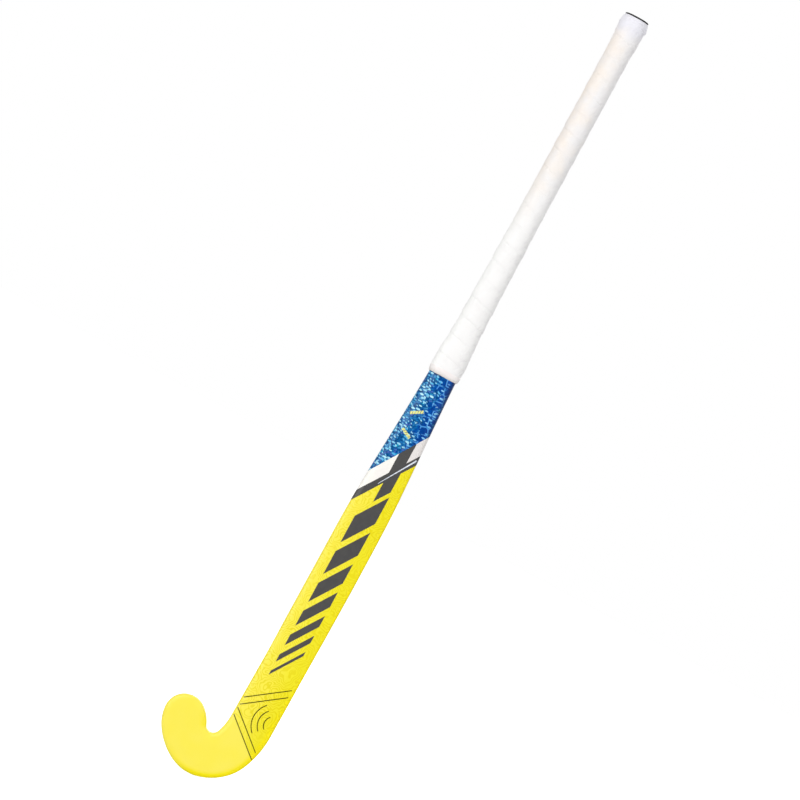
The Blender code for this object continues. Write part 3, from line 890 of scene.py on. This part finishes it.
class Mosaic(Paint):
    """The blue print: small scales on the toe's side, larger round cells on the heel's side."""

    def __init__(self):
        super().__init__("mosaic_print", **COAT)
        self.flat = self.add("ShaderNodeUVMap", uv_map="Print").outputs[0]
        self.girth = self.split(self.flat)[0]

    def cells(self, size, stretch, tilt, order):
        """Packed cells: how far a place is from its cell's edge, and the cell's own random numbers."""
        scales = 1 / (size * stretch), stretch / size, 0.0
        place = self.vector("MULTIPLY", self.turned(self.flat, tilt), scales)
        edge, chance = (self.voronoi(place, 1.0, output, 1 - order, voronoi_dimensions="2D", feature=feature)
                        for output, feature in (("Distance", "DISTANCE_TO_EDGE"), ("Color", "F1")))
        return edge, self.add("ShaderNodeSeparateColor", {0: chance}).outputs

    def flecks(self, width, height, tilt, size):
        """A mask of jittered ovals in staggered rows, and each one's own random numbers."""
        u, v, _ = self.split(self.turned(self.flat, tilt))
        v = self.math("DIVIDE", v, height)
        row = self.math("FLOOR", v)
        stagger = self.times(self.math("FLOORED_MODULO", row, 2.0), 0.5)
        u = self.plus(self.math("DIVIDE", u, width), stagger)
        column = self.math("FLOOR", u)
        chance = self.add("ShaderNodeTexWhiteNoise", {"Vector": self.joined(column, row, width)},
                          noise_dimensions="3D").outputs["Color"]
        red, green, blue = self.add("ShaderNodeSeparateColor", {0: chance}).outputs
        u, v = (self.math("SUBTRACT", self.math("FRACT", place), self.between(stray, 0.32, 0.68))
                for place, stray in ((u, red), (v, green)))
        lean = self.math("SUBTRACT", v, self.times(u, 0.3))
        grown = self.between(red, 0.75, 1.25)
        u, v = (self.math("POWER", self.math("DIVIDE", part, self.times(grown, reach)), 2.0)
                for part, reach in ((u, size[0] / width), (lean, size[1] / height)))
        return self.ramp(self.plus(u, v), 1.25, 0.6), green, blue

    def between(self, chance, low, high):
        return self.math("MULTIPLY_ADD", chance, high - low, low)

    def over(self, base, share, strength, colour):
        return self.blend(self.times(share, strength), base, colour)

    def dashes(self, start, end):
        """A row of slanted dashes between two places."""
        length = dist(start, end)
        angle = atan2(end[1] - start[1], end[0] - start[0])
        u, v, _ = self.split(self.turned(self.vector("SUBTRACT", self.flat, (*start, 0.0)), -angle))
        within = self.times(self.ramp(u, -0.3, 0.3), self.ramp(u, length + 0.3, length - 0.3))
        tall = self.ramp(self.math("ABSOLUTE", v), 1.9, 1.3)
        slanted = self.plus(u, self.times(v, 0.5))
        beat = self.math("FRACT", self.math("DIVIDE", slanted, 2.9))
        dash = self.ramp(self.math("ABSOLUTE", self.math("SUBTRACT", beat, 0.5)), 0.46, 0.34)
        return self.times(self.times(within, tall), dash)

    def round_cells(self, base, heel):
        """Round deep-blue cells with thin light rims, on the heel's side."""
        edge, (chance, _, _) = self.cells(9.2, 1.0, 0.3, 0.5)
        inside = self.times(self.ramp(edge, 0.06, 0.3), heel)
        base = self.over(base, inside, 0.85, self.blend(chance, (0, 60, 142), (0, 92, 194)))
        broken = self.ramp(self.cloud(0.22, 1.0, self.flat), 0.36, 0.52)
        rim = self.times(self.ramp(edge, 0.10, 0.035), broken)
        return self.over(base, self.times(rim, heel), 0.85, (88, 168, 240))

    def small_scales(self, base, heel):
        """Small scales, each of one colour, thinning out towards the heel."""
        edge, (red, green, blue) = self.cells(3.0, 1.2, 0.35, 0.3)
        hue = self.blend(green, (0, 108, 178), (74, 164, 218))
        violet = self.ramp(self.math("MULTIPLY_ADD", heel, 0.3, blue), 0.24, 0.16)
        hue = self.blend(violet, hue, (80, 108, 192))
        hue = self.blend(self.ramp(blue, 0.80, 0.88), hue, (40, 176, 214))
        hue = self.blend(self.ramp(blue, 0.90, 0.96), hue, (170, 228, 248))
        limit = self.between(heel, 0.42, 0.88)
        shown = self.ramp(self.math("SUBTRACT", red, limit), -0.05, 0.05)
        return self.over(base, self.times(self.ramp(edge, 0.06, 0.2), shown), 0.8, hue)

    def bright_flecks(self, base, heel, few, *form):
        oval, green, blue = self.flecks(*form)
        limit = self.between(heel, few, few + 0.40)
        shown = self.times(oval, self.ramp(self.math("SUBTRACT", blue, limit), -0.04, 0.04))
        hue = self.blend(green, (80, 184, 234), (192, 246, 255))
        hue = self.blend(self.times(heel, 0.6), hue, (76, 164, 240))
        return self.over(base, shown, 0.95, hue)

    def printed(self):
        """The finished material, with painted shade that darkens the print where it turns away on the heel's
        side.
        """
        soft = self.cloud(0.16, 2.0, self.flat)
        border = self.math("MULTIPLY_ADD", self.cloud(0.06, 1.0, self.flat), 30.0, self.girth)
        heel = self.ramp(self.math("MULTIPLY_ADD", soft, 10.0, border), 17.0, 26.0)
        fine = self.ramp(self.cloud(0.42, 2.0, self.flat), 0.35, 0.68)
        base = self.blend(fine, (0, 62, 116), (20, 106, 174))
        base = self.blend(heel, base, self.blend(fine, (0, 50, 126), (0, 78, 168)))
        base = self.round_cells(base, heel)
        base = self.small_scales(base, heel)
        base = self.bright_flecks(base, heel, 0.42, 5.4, 4.1, 0.25, (2.1, 0.95))
        base = self.bright_flecks(base, heel, 0.66, 3.7, 3.1, -0.2, (1.25, 0.65))
        for start, end in DASH_ROWS:
            base = self.blend(self.dashes(start, end), base, (236, 234, 140))
        # Painted shade: dark navy where the surface faces +X, on the heel's side.
        painted_side_shade = self.ramp(self.split(self.facing)[0], 0.25, 0.85, 0.0, 0.8)
        return coated(self, self.blend(painted_side_shade, base, (4, 42, 98)), 0.36)


def grip_cushion():
    paint = Paint("grip_cushion_white", sheen_weight=0.35, sheen_roughness=0.5, specular_ior_level=0.3)
    x, _, z = paint.split()
    # Lavender-grey towards the grip's top.
    lavender_top = paint.ramp(paint.math("MULTIPLY_ADD", paint.cloud(60, 2.0), 0.016, z), 0.078, 0.096)
    # The upper grip is a little greyer, with mottled peach towards -X.
    tint = paint.ramp(paint.math("MULTIPLY_ADD", paint.cloud(45, 2.0), 0.06, x), 0.042, 0.008)
    upper_tones = paint.blend(tint, (243, 241, 241), (247, 238, 229))
    # Painted light: the lower grip is whiter at its -X edge, where the key light falls.
    painted_light_edge = paint.blend(paint.ramp(x, -0.005, -0.014), (248, 247, 246), (255, 255, 253))
    colour = paint.blend(paint.ramp(z, -0.18, -0.05), painted_light_edge, upper_tones)
    colour = paint.blend(lavender_top, colour, (238, 237, 244))
    grime = paint.ramp(paint.cloud(70, 4.0), 0.55, 0.8, 0.0, 0.25)
    colour = paint.blend(grime, colour, (232, 227, 226))
    fibres = paint.streaks((1500.0, 1500.0, 620.0), 4.0, 0.65)
    fine = paint.bump(paint.voronoi(paint.place, 900.0), 0.00006, 0.5, paint.bump(fibres, 0.00012, 0.7))
    slanting = paint.turned(paint.place, 0.9, "Y_AXIS")
    creases = paint.streaks((110.0, 110.0, 300.0), 3.0, 0.6, slanting)
    # Painted shade: grey in the slanting creases, growing towards +X, away from the key light.
    painted_crease_shade = paint.times(paint.ramp(creases, 0.48, 0.36), paint.ramp(x, -0.002, 0.017))
    colour = paint.blend(paint.times(painted_crease_shade, 0.3), colour, (220, 217, 220))
    fine = paint.bump(creases, 0.0009, 0.7, fine)
    fine = paint.bump(paint.cloud(130, 3.0), 0.0008, 0.6, fine)
    return paint.finish(colour, paint.ramp(fibres, 0.3, 0.7, 0.78, 0.92), fine)


def tape_satin():
    paint = Paint("tape_satin_white", coat_weight=0.3, coat_roughness=0.25)
    _, _, z = paint.split()
    faded = paint.ramp(paint.cloud(60, 2.0), 0.35, 0.65)
    colour = paint.blend(faded, (254, 250, 248), (249, 242, 240))
    hem = paint.ramp(z, (HAND - TAPE_HEM[0]) * MM, (HAND - TAPE_HEM[1]) * MM)
    colour = paint.blend(hem, colour, (240, 234, 230))
    threads = paint.math("SINE", paint.times(z, 2 * pi / 0.0007))
    normal = paint.bump(paint.plus(threads, paint.cloud(300, 3.0)), 0.00005, 0.6)
    return paint.finish(colour, paint.ramp(paint.cloud(200, 2.0), 0.3, 0.7, 0.3, 0.45), normal)


def cap_rubber():
    paint = Paint("cap_rubber_black", specular_ior_level=0.4)
    colour = paint.blend(paint.ramp(paint.cloud(220, 3.0), 0.35, 0.7), (22, 22, 23), (38, 38, 40))
    grain = paint.bump(paint.cloud(1800, 2.0), 0.00005, 0.8)
    return paint.finish(colour, paint.ramp(paint.cloud(90, 2.0), 0.3, 0.7, 0.52, 0.7), grain)


def bare_laminate():
    """Fibre twill under resin."""
    paint = Paint("laminate_twill", coat_weight=0.8, coat_roughness=0.2)
    x, y, z = paint.split()
    tow = 0.002
    over = paint.math("FLOOR", paint.math("DIVIDE", paint.plus(x, y), tow))
    up = paint.math("FLOOR", paint.math("DIVIDE", z, tow))
    warp = paint.math("LESS_THAN", paint.math("FLOORED_MODULO", paint.plus(over, up), 4.0), 2.0)
    fibre = paint.streaks((6000.0, 6000.0, 900.0), 2.0)
    colour = paint.blend(warp, (26, 26, 28), (48, 48, 52))
    return paint.finish(colour, paint.ramp(fibre, 0.3, 0.7, 0.28, 0.5), paint.bump(fibre, 0.00003, 0.6))


def foam(name, light, dark, cell):
    paint = Paint(name)
    cells = paint.voronoi(paint.place, 1 / cell)
    colour = paint.blend(paint.ramp(cells, 0.2, 0.7), light, dark)
    return paint.finish(colour, paint.ramp(paint.cloud(80), 0.3, 0.7, 0.82, 0.96),
                        paint.bump(cells, cell * 0.3, 0.8))


def backing():
    paint = Paint("backing_gauze")
    x, y, z = paint.split()
    threads = [paint.math("ABSOLUTE", paint.math("SINE", paint.times(part, 2600.0)))
               for part in (paint.plus(x, y), z)]
    gauze = paint.math("MAXIMUM", *threads)
    colour = paint.blend(paint.ramp(gauze, 0.75, 0.95), (214, 204, 178), (236, 230, 214))
    return paint.finish(colour, paint.ramp(gauze, 0.6, 1.0, 0.45, 0.8), paint.bump(gauze, 0.00008, 0.7))


# --- The stick ---

def build_stick():
    lacquered_shell(yellow_lacquer())
    round_cap(cap_rubber())
    wound_grip(grip_cushion())
    finish_tape(tape_satin())
    wrap("print_mosaic", (FILM_START, 0.0), MOSAIC_EDGE, LOWER_FILM, Mosaic().printed(),
         "mosaic_wrap")
    wrap("print_white", MOSAIC_EDGE, BAND_TOP, LOWER_FILM, white_print(), "white_wrap")
    dark = dark_print()
    wrap("print_slanted_band", BAND_TOP, BAND_BOTTOM, LOWER_FILM, dark, "slanted_band")
    patch("print_upright_band", UPRIGHT_BAND, MOSAIC_EDGE, UPRIGHT_END, UPPER_FILM, dark,
          "upright_band")
    distance = BAR_START
    for number, length in enumerate(BAR_LENGTHS, 1):
        patch(f"print_bar_{number}", (-BAR_HALF, BAR_HALF), (distance, SLANT), (distance + length, SLANT),
              LOWER_FILM, dark, f"face_bar_{number}")
        distance += length + BAR_GAP
    pinstripe(ink("stripe_ink", 500, (0.35, 0.65), (238, 243, 250), (212, 220, 232), 0.35))
    head_lines(ink("line_ink", 900, (0.3, 0.7), (52, 52, 18), (78, 76, 26), 0.4))
    laminate = bare_laminate()
    inside = {
        "inner_tube_heel": laminate,
        "inner_tube_toe": laminate,
        "head_core": foam("core_foam_cells", (222, 200, 150), (196, 170, 118), 0.0012),
        "butt_plug": foam("plug_foam_cells", (226, 222, 208), (204, 198, 182), 0.0009),
        "grip_backing": backing(),
    }
    for node, material in inside.items():
        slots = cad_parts[node].data.materials
        slots.clear()
        slots.append(material)


# --- The studio ---

LEAN = radians(28.5)          # the camera is rolled, so the upright stick leans in the picture
VIEW_MIDDLE = Vector((-0.0279, 0.0, -0.3747))
VIEW_WIDTH = 0.8461
CAMERA_AWAY = 5.5
SENSOR = 36.0
ROOM_LIGHT = 0.52
ROOM_FRONT = 0.10
FRONT_EDGE = (-0.97, -0.7)    # where a direction's Y goes from the dim front to the rest of the room
PAPER_COLOUR = (0.9, 0.9, 0.9, 1.0)
PAPER_GLOW = 0.75
FLOOR_HALF = 20.0
BACKDROP = 1.0                # what the camera sees of the room
PANELS = (                    # name, direction from the stick, distance, size, power, whether it is mirrored
    ("light_key", (-0.72, -1.0, 0.35), 3.2, 2.8, 66.0, True),
    ("light_fill", (0.85, -1.0, -0.15), 3.2, 2.6, 58.0, False),
    ("light_back", (0.2, 1.0, 0.5), 3.2, 2.6, 80.0, True),
)


def camera():
    data = bpy.data.cameras.new("camera")
    data.sensor_width = SENSOR
    data.lens = SENSOR * CAMERA_AWAY / VIEW_WIDTH
    obj = new_object("camera", data)
    right = Vector((cos(LEAN), 0, sin(LEAN)))
    up = Vector((-sin(LEAN), 0, cos(LEAN)))
    turn = Matrix((right, up, right.cross(up))).transposed()
    obj.matrix_world = Matrix.Translation(VIEW_MIDDLE - Vector((0, CAMERA_AWAY, 0))) @ turn.to_4x4()
    bpy.context.scene.camera = obj


def panel(name, toward, away, size, power, mirrored):
    """A soft square light that looks at the stick's middle."""
    data = bpy.data.lights.new(name, "AREA")
    data.shape = "SQUARE"
    data.size = size
    data.energy = power
    obj = new_object(name, data)
    toward = Vector(toward).normalized()
    obj.location = VIEW_MIDDLE + toward * away
    obj.rotation_euler = toward.to_track_quat("Z", "Y").to_euler()
    obj.visible_camera = False
    obj.visible_glossy = mirrored


def studio():
    world = bpy.data.worlds.new("studio")
    bpy.context.scene.world = world
    world.use_nodes = True
    nodes, links = world.node_tree.nodes, world.node_tree.links

    def ramp(value, start, end, low, high):
        node = nodes.new("ShaderNodeMapRange")
        for socket, number in zip(node.inputs[1:], (start, end, low, high)):
            socket.default_value = number
        links.new(value, node.inputs[0])
        return node

    # The room is dimmer on the camera's side, so the flat face mirrors no glare.
    direction = nodes.new("ShaderNodeSeparateXYZ")
    links.new(nodes.new("ShaderNodeTexCoord").outputs["Generated"], direction.inputs[0])
    room = ramp(direction.outputs["Y"], *FRONT_EDGE, ROOM_FRONT, ROOM_LIGHT)
    seen = nodes.new("ShaderNodeLightPath").outputs["Is Camera Ray"]
    strength = ramp(seen, 0, 1, 0, BACKDROP)
    links.new(room.outputs[0], strength.inputs["To Min"])
    nodes["Background"].inputs["Color"].default_value = (1, 1, 1, 1)
    links.new(strength.outputs[0], nodes["Background"].inputs["Strength"])
    for light in PANELS:
        panel(*light)
    bpy.context.scene.view_settings.view_transform = "Standard"


def paper_floor():
    """White paper at the stick's lowest point, left out of mirrors and of bounced light."""
    paper = Paint("paper", roughness=0.9, base_color=PAPER_COLOUR, emission_color=(1, 1, 1, 1),
                  emission_strength=PAPER_GLOW)
    sides = (-1, -1), (1, -1), (1, 1), (-1, 1)
    corners = [(x * FLOOR_HALF, y * FLOOR_HALF, CAD_BOX[0][2]) for x, y in sides]
    mesh = bpy.data.meshes.new("floor")
    mesh.from_pydata(corners, [], [(0, 1, 2, 3)])
    mesh.materials.append(paper.material)
    floor = new_object("floor", mesh)
    floor.visible_diffuse = False
    floor.visible_glossy = False


camera()
studio()
paper_floor()
build_stick()
